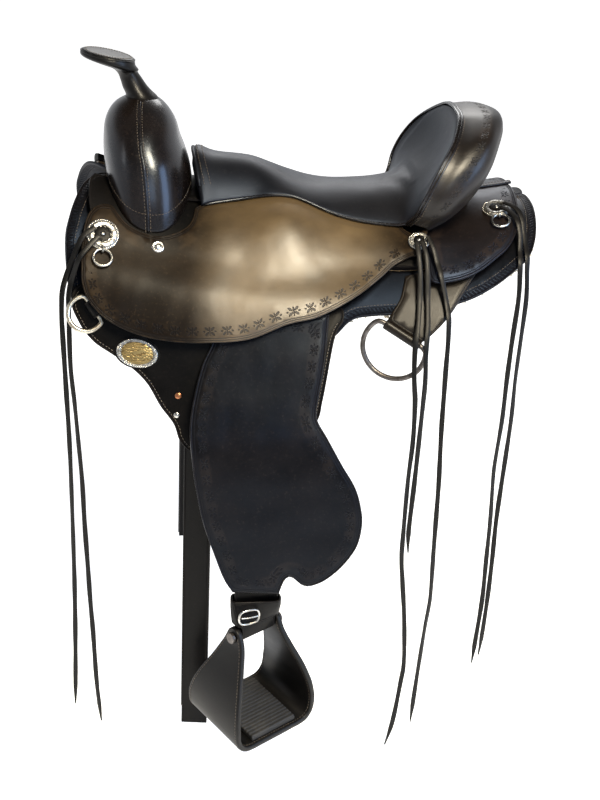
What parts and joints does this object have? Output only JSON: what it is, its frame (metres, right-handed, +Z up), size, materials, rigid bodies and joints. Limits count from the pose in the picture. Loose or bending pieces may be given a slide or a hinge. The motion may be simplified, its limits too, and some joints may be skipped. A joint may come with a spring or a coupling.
{
  "type": "western trail saddle",
  "caption": "Western trail saddle with a horn, padded seat and cantle roll, wool-lined round skirts, fenders with ribbed-tread stirrups, dees, conchos and hanging laces.",
  "frame": {"origin": "on the middle line of the fleece underside, under the lowest point of the seat", "axes": "+X to the rear (the horn points to -X), +Y to the off (right) side, +Z up"},
  "size_m": [0.6613, 0.721, 0.9951],
  "materials": {
    "dark_leather": "dark brown harness leather with a deep gloss and stamped borders",
    "seat_leather": "smooth dark padded seat leather, soft sheen",
    "black_leather": "near-black strap leather, semi-gloss",
    "tree": "rawhide-covered wood",
    "fleece": "cream wool fleece",
    "silver": "bright engraved metal",
    "steel": "dull dark steel",
    "rubber": "ribbed black rubber"
  },
  "bodies": {
    "saddle": {"badge": "silver", "cantle_back": "dark_leather", "cantle_roll": "dark_leather", "fork_cover": "dark_leather", "horn_cover": "dark_leather", "near_fleece": "fleece", "near_front_concho": "silver", "near_front_dee_keeper": "black_leather", "near_mid_concho": "silver", "near_rear_concho": "silver", "near_rear_dee_hanger": "dark_leather", "near_rear_jockey": "dark_leather", "near_rigging": "black_leather", "near_rigging_link": "steel", "near_seat_jockey": "dark_leather", "near_skirt": "dark_leather", "near_string_front_a": "dark_leather", "near_string_front_b": "dark_leather", "near_string_mid_a": "dark_leather", "near_string_mid_b": "dark_leather", "near_string_mid_c": "dark_leather", "near_string_rear_a": "dark_leather", "near_string_rear_b": "dark_leather", "off_fleece": "fleece", "off_front_concho": "silver", "off_front_dee_keeper": "black_leather", "off_mid_concho": "silver", "off_rear_concho": "silver", "off_rear_dee_hanger": "dark_leather", "off_rear_jockey": "dark_leather", "off_rigging": "black_leather", "off_rigging_link": "steel", "off_seat_jockey": "dark_leather", "off_skirt": "dark_leather", "seat": "seat_leather", "tree": "tree"},
    "near_fender_assembly": {"near_fender": "dark_leather", "near_stirrup_leather": "black_leather", "near_hobble_strap": "dark_leather", "near_hobble_buckle": "silver"},
    "near_stirrup_group": {"near_stirrup": "black_leather", "near_stirrup_tread": "rubber", "near_stirrup_bolt": "steel"},
    "near_front_dee_ring": {"near_front_dee": "silver"},
    "near_rear_dee_ring": {"near_rear_dee": "steel"},
    "near_front_tie_ring": {"near_front_ring": "silver"},
    "near_rear_tie_ring": {"near_rear_ring": "silver"},
    "off_fender_assembly": {"off_fender": "dark_leather", "off_stirrup_leather": "black_leather", "off_hobble_strap": "dark_leather", "off_hobble_buckle": "silver"},
    "off_stirrup_group": {"off_stirrup": "black_leather", "off_stirrup_tread": "rubber", "off_stirrup_bolt": "steel"},
    "off_front_dee_ring": {"off_front_dee": "silver"},
    "off_rear_dee_ring": {"off_rear_dee": "steel"},
    "off_front_tie_ring": {"off_front_ring": "silver"},
    "off_rear_tie_ring": {"off_rear_ring": "silver"},
    "near_latigo_strap": {"near_latigo": "black_leather"},
    "off_billet_strap": {"off_billet": "black_leather"}
  },
  "joints": [
    {"name": "near_fender_swing", "type": "hinge", "parent": "saddle", "child": "near_fender_assembly", "pos_m": [-0.0966, -0.1841, -0.0878], "axis": [-0.0484, -0.8931, 0.4473], "range_deg": [-2, 15]},
    {"name": "off_fender_swing", "type": "hinge", "parent": "saddle", "child": "off_fender_assembly", "pos_m": [-0.0966, 0.1841, -0.0878], "axis": [0.0484, -0.8931, -0.4473], "range_deg": [-2, 15]},
    {"name": "near_stirrup_turn", "type": "hinge", "parent": "near_fender_assembly", "child": "near_stirrup_group", "pos_m": [-0.106, -0.272, -0.515], "axis": [0.7986, 0.6018, 0], "range_deg": [-30, 6]},
    {"name": "off_stirrup_turn", "type": "hinge", "parent": "off_fender_assembly", "child": "off_stirrup_group", "pos_m": [-0.106, 0.272, -0.515], "axis": [-0.7986, 0.6018, 0], "range_deg": [-30, 6]},
    {"name": "near_front_dee_swing", "type": "hinge", "parent": "saddle", "child": "near_front_dee_ring", "pos_m": [-0.3285, -0.1804, -0.0727], "axis": [-0.5711, 0.2912, 0.7675], "range_deg": [0, 60]},
    {"name": "off_front_dee_swing", "type": "hinge", "parent": "saddle", "child": "off_front_dee_ring", "pos_m": [-0.3285, 0.1804, -0.0727], "axis": [0.5711, 0.2912, -0.7675], "range_deg": [0, 60]},
    {"name": "near_rear_dee_swing", "type": "hinge", "parent": "saddle", "child": "near_rear_dee_ring", "pos_m": [0.0845, -0.2006, -0.0981], "axis": [0.8226, -0.3696, -0.4321], "range_deg": [-12, 40]},
    {"name": "off_rear_dee_swing", "type": "hinge", "parent": "saddle", "child": "off_rear_dee_ring", "pos_m": [0.0845, 0.2006, -0.0981], "axis": [-0.8226, -0.3696, 0.4321], "range_deg": [-12, 40]},
    {"name": "near_front_tie_ring_swing", "type": "hinge", "parent": "saddle", "child": "near_front_tie_ring", "pos_m": [-0.3162, -0.1577, 0.0023], "axis": [-0.9917, -0.1009, 0.0802], "range_deg": [0, 85]},
    {"name": "off_front_tie_ring_swing", "type": "hinge", "parent": "saddle", "child": "off_front_tie_ring", "pos_m": [-0.3162, 0.1577, 0.0023], "axis": [0.9917, -0.1009, -0.0802], "range_deg": [0, 85]},
    {"name": "near_rear_tie_ring_swing", "type": "hinge", "parent": "saddle", "child": "near_rear_tie_ring", "pos_m": [0.2262, -0.0979, 0.0422], "axis": [-0.9879, 0.0489, -0.1473], "range_deg": [0, 85]},
    {"name": "off_rear_tie_ring_swing", "type": "hinge", "parent": "saddle", "child": "off_rear_tie_ring", "pos_m": [0.2262, 0.0979, 0.0422], "axis": [0.9879, 0.0489, 0.1473], "range_deg": [0, 85]},
    {"name": "near_latigo_swing", "type": "hinge", "parent": "saddle", "child": "near_latigo_strap", "pos_m": [-0.188, -0.2182, -0.2493], "axis": [0.9951, -0.0985, 0], "range_deg": [-2, 20]},
    {"name": "off_billet_swing", "type": "hinge", "parent": "saddle", "child": "off_billet_strap", "pos_m": [-0.188, 0.2182, -0.2493], "axis": [-0.9951, -0.0985, 0], "range_deg": [-3, 20]}
  ]
}
